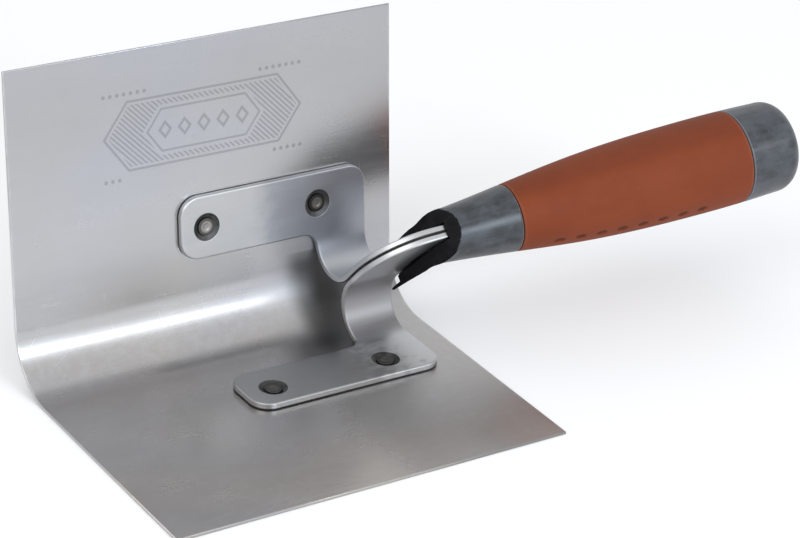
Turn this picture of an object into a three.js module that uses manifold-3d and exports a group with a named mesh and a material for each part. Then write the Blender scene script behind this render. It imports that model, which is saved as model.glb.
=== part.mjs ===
// Inside corner trowel: a bent spring-steel blade, two riveted brackets whose tangs lie back to back,
// and a handle pushed over the tangs. Millimetres, +Z up, +X along the fold towards the handle.
// The lower wing lies flat, and the origin is below the centre of the whole tool, on the ground.
import * as THREE from "three";
import { mergeVertices } from "three/addons/utils/BufferGeometryUtils.js";
import Module from "manifold-3d";

// Blade
const FOLD_LENGTH = 127; // 5 in along the corner
const WING_WIDTH = 93; // from the sharp corner of the inner faces to each free edge
const CORNER_ANGLE = THREE.MathUtils.degToRad(97.3); // sprung wider than the wall's right angle
const BEND_RADIUS = 18.8; // inner face of the fold
const BLADE_THICKNESS = 0.9;

// Brackets: one flange on each wing, a rolled neck, and a tang in the plane that halves the corner
const PLATE = 2; // sheet thickness
const SEAT_GAP = 0.1; // between flange and wing, and between each tang and the halving plane
const FLANGE_START = 53.4; // along the fold
const FLANGE_END = 116.8; // the neck leaves in line with this end
const FLANGE_NEAR = 26.3; // distance from the corner to the flange's two long edges
const FLANGE_FAR = 45.7;
const FLANGE_CORNER = 6;
const NECK_START = 99.8;
const NECK_FILLET = 4.6; // between the flange and the neck, carried on into the curl
const CURL_RADIUS = 11.2; // of the circle that touches both the wing and the halving plane
const CURL_OVERLAP = 1.5; // straight length at each end of the curl, inside the plates it joins
const TANG_SWEEP = 20; // radius at which the tang's outer edge turns towards the handle
const TANG_HALF_WIDTH = 4.3;
const TANG_FILLET = 6; // between the neck's end and the tang's inner edge
const TANG_END = 56; // along the handle
const TANG_TIP = 3; // corner radius of its hidden end

// Rivets: countersunk flush into the working face, spread into a countersink in the flange
const RIVETS = { // places along the fold, and their distance from the corner
  lower: { places: [62.8, 101.3], distance: 37.2 },
  upper: { places: [61.9, 99.9], distance: 35.9 },
};
const RIVET_SHANK = 2.2;
const RIVET_HEAD = 3.4;
const RIVET_SPREAD = 2.75;
const SINK_RADIUS = 4.3;
const SINK_DEPTH = 0.7;

// Handle: its axis lies in the halving plane
const HANDLE_X = 127; // where the axis passes the end of the blade
const HANDLE_DISTANCE = 47.6; // from the corner, there
const HANDLE_RISE = THREE.MathUtils.degToRad(7.6); // away from the fold
const FIT_GAP = 0.25; // between pieces that nest
const BODY_LINE = new THREE.SplineCurve(
  [
    [-16, 7],
    [0, 8.35],
    [20, 10.6],
    [40, 12.8],
    [60, 14.1],
    [80, 14.6],
    [96, 14.6],
    [112, 14.1],
  ].map(([along, radius]) => new THREE.Vector2(along, radius)),
);
const SLEEVE_START = 17.7;
const SLEEVE_END = 96.1;
const SLEEVE_THICKNESS = 2.4;
const SEAM_EDGE = 0.4; // chamfer where the sleeve meets its neighbours
const SPIGOT_RADIUS = 7;
const SPIGOT_END = 109;
const CAP_CORNER = 5; // rounding of the butt
const CAP_END = 115.4;
const CAP_DOME = 0.9;

// Nose: the front of the handle drops down both sides of the tangs and is cut by one curved face
const NOSE_FACE = new THREE.QuadraticBezierCurve( // along the axis, and above it
  new THREE.Vector2(3, 13),
  new THREE.Vector2(-11, 0),
  new THREE.Vector2(-15.6, -27),
);
const NOSE_TOP = 0.36; // part of the way down the face, inside the turned body
const NOSE_BOTTOM = 0.965;
const NOSE_LEVELS = 12;
const NOSE_TIP_WIDTH = 5.7; // half of it, at the bottom
const NOSE_WIDTH = 7.3; // half of it, from the shoulder up
const NOSE_SHOULDER = -8; // above the axis
const NOSE_TAPER = THREE.MathUtils.degToRad(33); // of each side, behind the face
const NOSE_RIDGE = 2; // radius of the rear edge
const SLOT_CLEARANCE = 0.4;
const SLOT_REAR = 119.2; // along the fold: the slot is open downwards up to here
const MOUTH_TOP = 26.4; // distance from the corner
const MOUTH_HALF_WIDTH = 4.4;
const PIN_PLACE = 34; // along the handle
const PIN_RADIUS = 2;

const ROUND = 40; // facets round the handle
const SMALL_ROUND = 24; // facets round rivets, pin and holes
const AXIS_X = new THREE.Vector3(1, 0, 0);
const AXIS_Y = new THREE.Vector3(0, 1, 0);
const AXIS_Z = new THREE.Vector3(0, 0, 1);
const HALF_ANGLE = CORNER_ANGLE / 2;
const FAR = 60; // more than any cut needs

const wasm = await Module();
wasm.setup();

const STEEL = { metalness: 1, roughness: 0.35 };
const materials = {
  blade: new THREE.MeshStandardMaterial({ ...STEEL, color: 0xb4b7bb }),
  bracket: new THREE.MeshStandardMaterial({ ...STEEL, color: 0xa9abad, roughness: 0.25 }),
  rivet: new THREE.MeshStandardMaterial({ ...STEEL, color: 0x8d8f92 }),
  core: new THREE.MeshStandardMaterial({ color: 0x2b2d2f, roughness: 0.45 }),
  sleeve: new THREE.MeshStandardMaterial({ color: 0x91492f, roughness: 0.8 }),
};

// ---- Solids ----

function solidOf(geometry, matrix = new THREE.Matrix4()) {
  const plain = geometry.clone();
  plain.deleteAttribute("normal");
  plain.deleteAttribute("uv");
  const merged = mergeVertices(plain.applyMatrix4(matrix), 1e-4);
  return new wasm.Manifold(
    new wasm.Mesh({
      numProp: 3,
      vertProperties: merged.attributes.position.array,
      triVerts: new Uint32Array(merged.index.array),
    }),
  );
}

function geometryOf(solid) {
  const { vertProperties, triVerts } = solid.getMesh();
  const geometry = new THREE.BufferGeometry();
  geometry.setAttribute("position", new THREE.BufferAttribute(vertProperties, 3));
  geometry.setIndex(new THREE.BufferAttribute(triVerts, 1));
  geometry.computeVertexNormals();
  return geometry;
}

function joined(solids) {
  return solids.reduce((whole, solid) => whole.add(solid));
}

function without(solid, cuts) {
  return cuts.reduce((left, cut) => left.subtract(cut), solid);
}

function meshOf(name, solid, material) {
  const mesh = new THREE.Mesh(geometryOf(solid), material);
  mesh.name = name;
  return mesh;
}

// A frame whose x and y run along across and up.
function frameOf(across, up, origin = new THREE.Vector3()) {
  const normal = new THREE.Vector3().crossVectors(across, up);
  return new THREE.Matrix4().makeBasis(across, up, normal).setPosition(origin);
}

// A flat outline on a frame's x and y, extruded along its z from start to end.
function prism(shape, start, end, frame, curveSegments = 12) {
  const geometry = new THREE.ExtrudeGeometry(shape, {
    depth: end - start,
    bevelEnabled: false,
    curveSegments,
  });
  return solidOf(geometry.translate(0, 0, start), frame);
}

// A profile of [along, radius] points turned about the line through centre that runs along direction.
function turned(profile, centre, direction, segments = ROUND) {
  const points = profile.map(([along, radius]) => new THREE.Vector2(radius, along));
  const spin = new THREE.Quaternion().setFromUnitVectors(AXIS_Y, direction);
  const matrix = new THREE.Matrix4().compose(centre, spin, new THREE.Vector3(1, 1, 1));
  return solidOf(new THREE.LatheGeometry(points, segments), matrix);
}

// A skin over a stack of convex rings, each counterclockwise seen from the last one's side.
function lofted(rings, frame) {
  const size = rings[0].length;
  const last = (rings.length - 1) * size;
  const triangles = [];
  rings.slice(1).forEach((ring, level) =>
    ring.forEach((point, i) => {
      const a = level * size + i;
      const b = level * size + ((i + 1) % size);
      triangles.push(a, b, b + size, a, b + size, a + size);
    }),
  );
  for (let i = 1; i < size - 1; i += 1) {
    triangles.push(0, i + 1, i, last, last + i, last + i + 1);
  }
  const geometry = new THREE.BufferGeometry().setFromPoints(rings.flat());
  geometry.setIndex(triangles);
  return solidOf(geometry, frame);
}

// ---- Rivets, drawn from the working face (0) to the flange's top ----

const STACK = BLADE_THICKNESS + SEAT_GAP + PLATE;
const RIVET_PROFILE = [
  [0.02, 0],
  [0.02, RIVET_HEAD],
  [0.2, RIVET_HEAD],
  [0.7, RIVET_SHANK],
  [STACK - SINK_DEPTH, RIVET_SHANK],
  [STACK - 0.45, RIVET_SPREAD],
  [STACK - 0.2, RIVET_SPREAD - 0.2],
  [STACK - 0.2, 1],
  [STACK - 0.7, 0],
];
const HOLE = RIVET_SHANK + FIT_GAP;
const BLADE_HOLE_PROFILE = [
  [-1, 0],
  [-1, RIVET_HEAD + FIT_GAP],
  [0.3, RIVET_HEAD + FIT_GAP],
  [0.8, HOLE],
  [2, HOLE],
  [2, 0],
];
const FLANGE_HOLE_PROFILE = [
  [0, 0],
  [0, HOLE],
  [STACK - SINK_DEPTH, HOLE],
  [STACK - SINK_DEPTH + 0.1, RIVET_SPREAD + FIT_GAP],
  [STACK, SINK_RADIUS],
  [STACK + 1, SINK_RADIUS + 0.7],
  [STACK + 1, 0],
];

// ---- Blade ----

const LEAN = CORNER_ANGLE - Math.PI / 2;
const WINGS = {
  lower: { along: new THREE.Vector3(0, -1, 0), inward: new THREE.Vector3(0, 0, 1) },
  upper: {
    along: new THREE.Vector3(0, Math.sin(LEAN), Math.cos(LEAN)),
    inward: new THREE.Vector3(0, -Math.cos(LEAN), Math.sin(LEAN)),
  },
};

// Cross-section on Y and Z, with the sharp corner of the inner faces at 0, 0.
function bladeSection() {
  const turn = Math.PI - CORNER_ANGLE;
  const flat = BEND_RADIUS * Math.tan(turn / 2);
  const outer = BEND_RADIUS + BLADE_THICKNESS;
  const { along, inward } = WINGS.upper;
  const edge = along.clone().multiplyScalar(WING_WIDTH);
  const back = edge.clone().addScaledVector(inward, -BLADE_THICKNESS);
  const shape = new THREE.Shape();
  shape.moveTo(-WING_WIDTH, 0);
  shape.lineTo(-flat, 0);
  shape.absarc(-flat, BEND_RADIUS, BEND_RADIUS, -Math.PI / 2, turn - Math.PI / 2, false);
  shape.lineTo(edge.y, edge.z);
  shape.lineTo(back.y, back.z);
  shape.absarc(-flat, BEND_RADIUS, outer, turn - Math.PI / 2, -Math.PI / 2, true);
  shape.lineTo(-WING_WIDTH, -BLADE_THICKNESS);
  return shape;
}

// A profile at each of one side's rivets, drawn from the working face, a thickness behind the wing.
function atRivets(side, { along, inward }, profile) {
  const { places, distance } = RIVETS[side];
  return places.map((place) => {
    const seat = along.clone().multiplyScalar(distance).addScaledVector(inward, -BLADE_THICKNESS);
    return turned(profile, seat.setX(place), inward, SMALL_ROUND);
  });
}

function buildBlade() {
  const blank = prism(bladeSection(), 0, FOLD_LENGTH, frameOf(AXIS_Y, AXIS_Z), 16);
  const holes = Object.entries(WINGS).flatMap(([side, wing]) =>
    atRivets(side, wing, BLADE_HOLE_PROFILE),
  );
  return meshOf("blade", without(blank, holes), materials.blade);
}

function buildRivets() {
  return Object.entries(WINGS).flatMap(([side, wing]) =>
    atRivets(side, wing, RIVET_PROFILE).map((solid, i) =>
      meshOf(`rivet_${side}_${i + 1}`, solid, materials.rivet),
    ),
  );
}

// ---- Brackets, in the halving frame: x along the fold, y out of the corner, z to the lower wing ----

const CURL_DISTANCE = CURL_RADIUS / Math.tan(HALF_ANGLE / 2); // from the corner to each tangent point
const FILLET_X = NECK_START - NECK_FILLET; // the centre of the fillet between flange and neck
const FILLET_DISTANCE = FLANGE_NEAR - NECK_FILLET;
const WING = {
  along: new THREE.Vector3(0, Math.cos(HALF_ANGLE), Math.sin(HALF_ANGLE)),
  inward: new THREE.Vector3(0, Math.sin(HALF_ANGLE), -Math.cos(HALF_ANGLE)),
};

// Flange outline on x and the distance from the corner.
function flangeOutline() {
  const r = FLANGE_CORNER;
  const shape = new THREE.Shape();
  shape.moveTo((NECK_START + FLANGE_END) / 2, CURL_DISTANCE);
  shape.lineTo(FLANGE_END, CURL_DISTANCE);
  shape.absarc(FLANGE_END - r, FLANGE_FAR - r, r, 0, Math.PI / 2, false);
  shape.absarc(FLANGE_START + r, FLANGE_FAR - r, r, Math.PI / 2, Math.PI, false);
  shape.absarc(FLANGE_START + r, FLANGE_NEAR + r, r, Math.PI, 1.5 * Math.PI, false);
  const filletEnd = Math.asin((CURL_DISTANCE - FILLET_DISTANCE) / NECK_FILLET);
  shape.absarc(FILLET_X, FILLET_DISTANCE, NECK_FILLET, Math.PI / 2, filletEnd, true);
  return shape;
}

// The corner that the fillet fills, on the same two coordinates.
function filletOutline() {
  const shape = new THREE.Shape();
  shape.moveTo(NECK_START + 1, FILLET_DISTANCE);
  shape.lineTo(NECK_START + 1, FLANGE_NEAR);
  shape.lineTo(FILLET_X, FLANGE_NEAR);
  shape.absarc(FILLET_X, FILLET_DISTANCE, NECK_FILLET, Math.PI / 2, 0, true);
  return shape;
}

// The neck's section on y and z: a stub on the wing, the curl, and a stub along the tang.
function curlSection(inner, outer) {
  const wing = Math.PI / 2 + HALF_ANGLE;
  const back = 1.5 * Math.PI;
  const stubEnd = (radius, angle, along) => [
    CURL_DISTANCE + radius * Math.cos(angle) + along.y * CURL_OVERLAP,
    CURL_RADIUS + radius * Math.sin(angle) + along.z * CURL_OVERLAP,
  ];
  const shape = new THREE.Shape();
  shape.moveTo(...stubEnd(inner, wing, WING.along));
  shape.lineTo(...stubEnd(outer, wing, WING.along));
  shape.absarc(CURL_DISTANCE, CURL_RADIUS, outer, wing, back, false);
  shape.lineTo(...stubEnd(outer, back, AXIS_Y));
  shape.lineTo(...stubEnd(inner, back, AXIS_Y));
  shape.absarc(CURL_DISTANCE, CURL_RADIUS, inner, back, wing, true);
  return shape;
}

const HANDLE_ALONG = new THREE.Vector3(Math.cos(HANDLE_RISE), Math.sin(HANDLE_RISE), 0);
const HANDLE_ABOVE = new THREE.Vector3(-Math.sin(HANDLE_RISE), Math.cos(HANDLE_RISE), 0);
const HANDLE_ORIGIN = new THREE.Vector3(HANDLE_X, HANDLE_DISTANCE, 0);
const HANDLE_FRAME = frameOf(HANDLE_ALONG, HANDLE_ABOVE, HANDLE_ORIGIN);

// A place given along and above the handle's axis, on x and the distance from the corner.
function onHandle(along, above) {
  const place = new THREE.Vector3(along, above, 0).applyMatrix4(HANDLE_FRAME);
  return [place.x, place.y];
}

// The place with a given x on the line that runs a given height above the handle's axis.
function onLine(x, above) {
  const along = (x - HANDLE_X + above * Math.sin(HANDLE_RISE)) / Math.cos(HANDLE_RISE);
  return onHandle(along, above);
}

// Tang outline on x and the distance from the corner; a margin grows it into the slot it lies in.
function tangOutline(margin) {
  const half = TANG_HALF_WIDTH + margin;
  const end = TANG_END + margin;
  const top = Math.PI / 2 + HANDLE_RISE;
  const [filletX, filletY] = onLine(FLANGE_END + TANG_FILLET, -TANG_HALF_WIDTH - TANG_FILLET);
  const [sweepX, sweepY] = onLine(NECK_START + TANG_SWEEP, TANG_HALF_WIDTH - TANG_SWEEP);
  const shape = new THREE.Shape();
  shape.moveTo(NECK_START - margin, CURL_DISTANCE);
  shape.lineTo(FLANGE_END + margin, CURL_DISTANCE);
  shape.absarc(filletX, filletY, TANG_FILLET - margin, Math.PI, top, true);
  shape.lineTo(...onHandle(end - TANG_TIP, -half));
  shape.lineTo(...onHandle(end, -half + TANG_TIP));
  shape.lineTo(...onHandle(end, half - TANG_TIP));
  shape.lineTo(...onHandle(end - TANG_TIP, half));
  shape.absarc(sweepX, sweepY, TANG_SWEEP + margin, top, Math.PI, false);
  return shape;
}

function crossPin(radius, reach) {
  const profile = [
    [-reach, 0],
    [-reach, radius],
    [reach, radius],
    [reach, 0],
  ];
  const centre = new THREE.Vector3(...onHandle(PIN_PLACE, 0), 0);
  return turned(profile, centre, AXIS_Z, SMALL_ROUND);
}

// A bracket on the lower wing.
function bracketSolid(side) {
  const outer = CURL_RADIUS - SEAT_GAP;
  const section = curlSection(outer - PLATE, outer);
  const flangeFrame = frameOf(AXIS_X, WING.along);
  const curl = (start) => prism(section, start, FLANGE_END, frameOf(AXIS_Y, AXIS_Z), 18);
  const flange = prism(flangeOutline(), -SEAT_GAP - PLATE, -SEAT_GAP, flangeFrame);
  const fillet = curl(FILLET_X).intersect(prism(filletOutline(), -FAR, FAR, flangeFrame));
  const tang = prism(tangOutline(0), SEAT_GAP, SEAT_GAP + PLATE, frameOf(AXIS_X, AXIS_Y));
  const holes = atRivets(side, WING, FLANGE_HOLE_PROFILE);
  const cuts = [...holes, crossPin(PIN_RADIUS + FIT_GAP, FAR)];
  return without(joined([flange, curl(NECK_START), fillet, tang]), cuts);
}

// The upper bracket is drawn on the lower wing and mirrored in the halving plane.
function buildBrackets() {
  const [lower, upper] = ["lower", "upper"].map((side) =>
    meshOf(`bracket_${side}`, bracketSolid(side), materials.bracket),
  );
  upper.scale.z = -1;
  return [lower, upper];
}

// ---- Handle, in the halving frame ----

const BODY_SAMPLES = BODY_LINE.getPoints(100);

function bodyRadius(along) {
  const next = BODY_SAMPLES.findIndex((point) => point.x > along);
  const [a, b] = [BODY_SAMPLES[next - 1], BODY_SAMPLES[next]];
  return THREE.MathUtils.mapLinear(along, a.x, b.x, a.y, b.y);
}

// Points along the body's outer line, or a depth below it.
function bodyProfile(start, end, depth = 0, steps = 10) {
  return Array.from({ length: steps + 1 }, (_, i) => {
    const along = THREE.MathUtils.lerp(start, end, i / steps);
    return [along, bodyRadius(along) - depth];
  });
}

// The drop-down nose: rounded wedges stacked down the face, each closed by a flat front ahead of it.
function noseSolid() {
  const rings = Array.from({ length: NOSE_LEVELS + 1 }, (_, level) => {
    const down = THREE.MathUtils.lerp(NOSE_BOTTOM, NOSE_TOP, level / NOSE_LEVELS);
    return noseRing(NOSE_FACE.getPoint(down), level === 0 ? 0.85 : 1);
  });
  return lofted(rings, HANDLE_FRAME);
}

function noseRing(face, scale) {
  const lowest = NOSE_FACE.getPoint(NOSE_BOTTOM).y;
  const widening = THREE.MathUtils.smoothstep(face.y, lowest, NOSE_SHOULDER);
  const width = THREE.MathUtils.lerp(NOSE_TIP_WIDTH, NOSE_WIDTH, widening) * scale;
  const depth = (width - NOSE_RIDGE / Math.cos(NOSE_TAPER)) / Math.tan(NOSE_TAPER);
  const front = face.x - 3;
  const turn = Math.PI / 2 - NOSE_TAPER;
  const ring = [new THREE.Vector3(front, face.y, width), new THREE.Vector3(face.x, face.y, width)];
  for (let i = 0; i <= 8; i += 1) {
    const angle = turn * (1 - i / 4);
    const along = face.x + depth + NOSE_RIDGE * Math.cos(angle);
    ring.push(new THREE.Vector3(along, face.y, NOSE_RIDGE * Math.sin(angle)));
  }
  ring.push(new THREE.Vector3(face.x, face.y, -width), new THREE.Vector3(front, face.y, -width));
  return ring;
}

// Everything in front of the nose's curved face.
function faceCut() {
  const shape = new THREE.Shape();
  shape.moveTo(-FAR, NOSE_FACE.v0.y);
  shape.lineTo(NOSE_FACE.v0.x, NOSE_FACE.v0.y);
  shape.quadraticCurveTo(NOSE_FACE.v1.x, NOSE_FACE.v1.y, NOSE_FACE.v2.x, NOSE_FACE.v2.y);
  shape.lineTo(-FAR, NOSE_FACE.v2.y);
  return prism(shape, -FAR, FAR, HANDLE_FRAME, 24);
}

// Everything within half of the halving plane, in front of rear and nearer the corner than top.
function openCut(rear, top, half) {
  const shape = new THREE.Shape();
  shape.moveTo(NECK_START, 0);
  shape.lineTo(rear, 0);
  shape.lineTo(rear, top);
  shape.lineTo(NECK_START, top);
  return prism(shape, -half, half, frameOf(AXIS_X, AXIS_Y));
}

// Room for both tangs, open to the front and downwards, and wider at the mouth for the curling necks.
function slotCuts() {
  const half = SEAT_GAP + PLATE + SLOT_CLEARANCE;
  return [
    prism(tangOutline(SLOT_CLEARANCE), -half, half, frameOf(AXIS_X, AXIS_Y)),
    openCut(SLOT_REAR, HANDLE_DISTANCE - TANG_HALF_WIDTH, half),
    openCut(SLOT_REAR, MOUTH_TOP, MOUTH_HALF_WIDTH),
  ];
}

function buildCore() {
  const recess = SLEEVE_THICKNESS + FIT_GAP;
  const front = -14;
  const profile = [
    [front, 0],
    ...bodyProfile(front, SLEEVE_START - SEAM_EDGE),
    [SLEEVE_START, bodyRadius(SLEEVE_START) - SEAM_EDGE],
    ...bodyProfile(SLEEVE_START, SLEEVE_END, recess),
    [SLEEVE_END, SPIGOT_RADIUS],
    [SPIGOT_END, SPIGOT_RADIUS],
    [SPIGOT_END, 0],
  ];
  const body = turned(profile, HANDLE_ORIGIN, HANDLE_ALONG);
  const cuts = [faceCut(), ...slotCuts(), crossPin(PIN_RADIUS + FIT_GAP, FAR)];
  return meshOf("handle_core", without(joined([body, noseSolid()]), cuts), materials.core);
}

function buildSleeve() {
  const start = SLEEVE_START + FIT_GAP;
  const end = SLEEVE_END;
  const outside = bodyProfile(start + SEAM_EDGE, end - SEAM_EDGE, 0, 14);
  const inside = bodyProfile(start, end, SLEEVE_THICKNESS, 14).reverse();
  const profile = [
    inside.at(-1),
    [start, bodyRadius(start) - SEAM_EDGE],
    ...outside,
    [end, bodyRadius(end) - SEAM_EDGE],
    ...inside,
  ];
  return meshOf("grip_sleeve", turned(profile, HANDLE_ORIGIN, HANDLE_ALONG), materials.sleeve);
}

// The butt cap: its blind bore goes over the core's spigot.
function buildCap() {
  const start = SLEEVE_END + FIT_GAP;
  const cornerStart = CAP_END - CAP_CORNER;
  const cornerRadius = bodyRadius(cornerStart) - CAP_CORNER;
  const corner = Array.from({ length: 7 }, (_, i) => {
    const angle = (Math.PI / 2) * (i / 6);
    return [
      cornerStart + CAP_CORNER * Math.sin(angle),
      cornerRadius + CAP_CORNER * Math.cos(angle),
    ];
  });
  const profile = [
    [start, SPIGOT_RADIUS + FIT_GAP],
    [start, bodyRadius(start) - SEAM_EDGE],
    ...bodyProfile(start + SEAM_EDGE, cornerStart - 1, 0, 5),
    ...corner,
    [CAP_END + CAP_DOME * 0.7, cornerRadius * 0.5],
    [CAP_END + CAP_DOME, 0],
    [SPIGOT_END + FIT_GAP, 0],
    [SPIGOT_END + FIT_GAP, SPIGOT_RADIUS + FIT_GAP],
    [start, SPIGOT_RADIUS + FIT_GAP],
  ];
  return meshOf("end_cap", turned(profile, HANDLE_ORIGIN, HANDLE_ALONG), materials.core);
}

function buildPin() {
  const reach = bodyRadius(PIN_PLACE) - SLEEVE_THICKNESS - 2 * FIT_GAP;
  return meshOf("tang_pin", crossPin(PIN_RADIUS, reach), materials.rivet);
}

// ---- Assembly ----

function buildTool() {
  const halving = new THREE.Group();
  halving.rotation.x = Math.PI - HALF_ANGLE;
  halving.add(...buildBrackets(), buildCore(), buildSleeve(), buildCap(), buildPin());
  const tool = new THREE.Group();
  tool.add(buildBlade(), ...buildRivets(), halving);
  const box = new THREE.Box3().setFromObject(tool, true);
  const centre = box.getCenter(new THREE.Vector3());
  tool.position.set(-centre.x, -centre.y, -box.min.z);
  return new THREE.Group().add(tool);
}

export default buildTool();
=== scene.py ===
"""Inside corner trowel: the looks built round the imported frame.

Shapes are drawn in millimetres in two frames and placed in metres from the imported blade's box.
Corner frame: X along the fold, Y and Z square to it, origin at the sharp corner of the inner faces.
Halving frame: X along the fold, Y out of the corner in the plane that halves it, Z to the lower wing.
"""

import math
from functools import reduce

import bmesh
import bpy
import numpy as np
from mathutils import Euler, Matrix, Vector
from mathutils.geometry import tessellate_polygon


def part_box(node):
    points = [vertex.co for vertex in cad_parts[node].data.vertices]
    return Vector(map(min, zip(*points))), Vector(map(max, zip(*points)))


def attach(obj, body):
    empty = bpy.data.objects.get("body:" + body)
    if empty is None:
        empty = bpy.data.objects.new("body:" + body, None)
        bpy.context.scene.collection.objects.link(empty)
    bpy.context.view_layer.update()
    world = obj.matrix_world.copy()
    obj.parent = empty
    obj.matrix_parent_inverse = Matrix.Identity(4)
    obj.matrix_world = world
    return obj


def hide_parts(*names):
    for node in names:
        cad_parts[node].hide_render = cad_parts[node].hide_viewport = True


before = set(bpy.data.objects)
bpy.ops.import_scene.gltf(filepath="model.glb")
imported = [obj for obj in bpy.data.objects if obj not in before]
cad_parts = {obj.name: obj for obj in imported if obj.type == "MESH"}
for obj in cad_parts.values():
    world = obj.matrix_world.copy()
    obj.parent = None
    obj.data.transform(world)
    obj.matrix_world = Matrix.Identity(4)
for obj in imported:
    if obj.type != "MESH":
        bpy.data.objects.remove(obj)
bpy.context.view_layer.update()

# ---- Sizes, in millimetres ----

MM = 0.001
FOLD = 127.0
WING = 93.0
CORNER = math.radians(97.3)
HALF = CORNER / 2
TURN = math.pi - CORNER
SHEET = 0.9
BEND_INNER = 18.8
PLATE = 2.0
SEAT_GAP = 0.1
FLANGE_X = (53.4, 116.8)  # along the fold
FLANGE_D = (26.3, 45.7)  # away from the corner
FLANGE_CORNER = 6.0
NECK_X = 99.8
NECK_FILLET = 4.6
CURL = 11.2
CURL_D = CURL / math.tan(HALF / 2)
TANG_HALF = 4.3
TANG_SWEEP = 20.0
TANG_FILLET = 6.0
TANG_END = 56.0
TANG_TIP = 3.0
NOSE_LOW = -25.3
NOSE_SHOULDER = -8.0
NOSE_WIDTHS = (5.7, 7.3)  # halves, at its foot and its shoulder
NOSE_TAPER = math.radians(33)
NOSE_RIDGE = 1.6
TANG_BOSS = 1.6
SLOT_REAR = 119.2
MOUTH_TOP = 26.4
MOUTH_HALF = 4.4
# Each wing's rivets: their places along the fold, and their distance from the corner.
RIVETS = {"lower": ((62.8, 101.3), 37.2), "upper": ((61.9, 99.9), 35.9)}
RIVET_HOLE = 2.45
RIVET_HEAD_HOLE = 3.55
RIVET_HEAD = 3.38
RIVET_SHANK = 2.2
HANDLE_X = 127.0
HANDLE_D = 47.6
RISE = math.radians(7.6)
# Place along the handle, and radius.
BODY_LINE = np.array(
    [(-16, 7), (0, 8.35), (20, 10.6), (40, 12.8), (60, 14.1), (80, 14.6), (96, 14.6), (112, 14.1)]
)
SLEEVE = (17.7, 96.1)
SLEEVE_THICK = 2.4
CAP_END = 114.9
CAP_CORNER = 5.6
CAP_DOME = 0.9
SPIGOT = 7.0
SPIGOT_END = 109.0
GAP = 0.25
DIMPLES = (30.0, 79.0, 7.0)  # first, last and pitch
DIMPLE_TURN = math.radians(80)
DIMPLE_SIZE = (2.1, 1.2)  # halves, along and across
DIMPLE_DEPTH = 0.4


# ---- Frames ----

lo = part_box("blade")[0]
CORNER_FRAME = Matrix.Translation((lo.x, lo.y + WING * MM, lo.z + SHEET * MM)) @ Matrix.Scale(MM, 4)
HALVING_FRAME = CORNER_FRAME @ Matrix.Rotation(math.pi - HALF, 4, "X")
MIRROR = Matrix.Diagonal((1, 1, -1, 1))
HANDLE_FRAME = (
    HALVING_FRAME @ Matrix.Translation((HANDLE_X, HANDLE_D, 0)) @ Matrix.Rotation(RISE, 4, "Z")
)


def placed(points, matrix):
    m = np.array(matrix)
    return points @ m[:3, :3].T + m[:3, 3]


def piece(name, points, faces, matrix, node, slot, materials, flip=False, which=None):
    """A smooth-shaded object that stands for a CAD node; which picks each face's material."""
    if flip:
        faces = [tuple(reversed(face)) for face in faces]
    mesh = bpy.data.meshes.new(name)
    mesh.from_pydata(placed(points, matrix).tolist(), [], [tuple(map(int, f)) for f in faces])
    mesh.polygons.foreach_set("use_smooth", [True] * len(mesh.polygons))
    for material in materials:
        mesh.materials.append(material)
    if which is not None:
        mesh.polygons.foreach_set("material_index", np.asarray(which, "i4"))
    mesh.update()
    thing = bpy.data.objects.new(name, mesh)
    bpy.context.scene.collection.objects.link(thing)
    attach(thing, "root")
    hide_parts(node)


# ---- Outlines ----


def arc(x, y, radius, start, end, steps=12):
    angles = np.radians(np.linspace(start, end, steps + 1))
    return np.stack([x + radius * np.cos(angles), y + radius * np.sin(angles)], 1)


def joined(parts, least=1e-4):
    """The outline through all parts, without points that repeat the one before."""
    points = np.vstack(parts)
    keep = np.linalg.norm(points - np.roll(points, 1, 0), axis=1) > least
    return points[keep]


def inset(outline, depth):
    """A counterclockwise outline moved inwards, with mitred corners."""
    before = outline - np.roll(outline, 1, 0)
    after = np.roll(outline, -1, 0) - outline
    before /= np.linalg.norm(before, axis=1)[:, None]
    after /= np.linalg.norm(after, axis=1)[:, None]
    n1 = np.stack([-before[:, 1], before[:, 0]], 1)
    n2 = np.stack([-after[:, 1], after[:, 0]], 1)
    mitre = (n1 + n2) / (1 + (n1 * n2).sum(1))[:, None]
    return outline + depth * mitre


# ---- Sheet pieces: a flat plate with holes, then bent along one path ----


def rounded_rim(half, below, above, steps, support, between=()):
    """Inset and height of each ring round a plate's edge, which is rounded below and above.

    The first and last rings lie on the faces, to hold them flat; between gives further heights.
    """
    angles = np.linspace(0, math.pi / 2, steps + 1)

    def side(rounding):
        quarter = [
            (rounding * (1 - math.cos(a)), half - rounding * (1 - math.sin(a))) for a in angles
        ]
        return [*quarter, (rounding + support, half)]

    lower = [(depth, -height) for depth, height in reversed(side(below))]
    return [*lower, *((0, height) for height in between), *side(above)]


def hole_rings(levels, support, half):
    """A hole's profile with a ring of support on each face."""
    first = (levels[0][0] + support, -half)
    last = (levels[-1][0] + support, half)
    return [first, *levels, last]


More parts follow.
